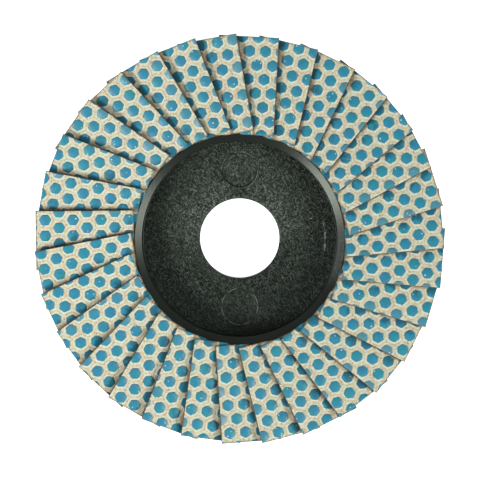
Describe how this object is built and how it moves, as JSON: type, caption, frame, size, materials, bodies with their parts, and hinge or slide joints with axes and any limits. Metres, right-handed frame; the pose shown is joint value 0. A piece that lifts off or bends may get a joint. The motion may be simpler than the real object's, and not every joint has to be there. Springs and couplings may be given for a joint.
{
  "type": "flap disc",
  "caption": "Round sanding flap disc: a recessed black hub plate with a central bore, ringed by overlapping tilted cloth flaps faced with hexagonal abrasive pads.",
  "frame": {"origin": "centre of the bore on the hub's back face, where the disc sits on the grinder's flange", "axes": "+Z along the bore towards the abrasive face; +Y towards the upper edge of the picture; +X to its right"},
  "size_m": [0.1149, 0.1149, 0.0134],
  "materials": {
    "plate_nylon": "moulded glass-filled nylon, black, faintly mottled",
    "bed_resin": "cured resin, brown",
    "flap_cloth": "coated cloth, cream, matt, brown at the cut edges",
    "pad_abrasive": "blue resin-bonded abrasive, satin with small bright grains"
  },
  "bodies": {
    "root": {"backing_plate": "plate_nylon", "adhesive_bed": "bed_resin", "flap_01": "flap_cloth", "flap_02": "flap_cloth", "flap_03": "flap_cloth", "flap_04": "flap_cloth", "flap_05": "flap_cloth", "flap_06": "flap_cloth", "flap_07": "flap_cloth", "flap_08": "flap_cloth", "flap_09": "flap_cloth", "flap_10": "flap_cloth", "flap_11": "flap_cloth", "flap_12": "flap_cloth", "flap_13": "flap_cloth", "flap_14": "flap_cloth", "flap_15": "flap_cloth", "flap_16": "flap_cloth", "flap_17": "flap_cloth", "flap_18": "flap_cloth", "flap_19": "flap_cloth", "flap_20": "flap_cloth", "flap_21": "flap_cloth", "flap_22": "flap_cloth", "flap_23": "flap_cloth", "flap_24": "flap_cloth", "flap_25": "flap_cloth", "flap_26": "flap_cloth", "flap_27": "flap_cloth", "flap_28": "flap_cloth", "flap_29": "flap_cloth", "flap_30": "flap_cloth", "flap_31": "flap_cloth", "diamond_pads": "pad_abrasive"}
  },
  "joints": []
}
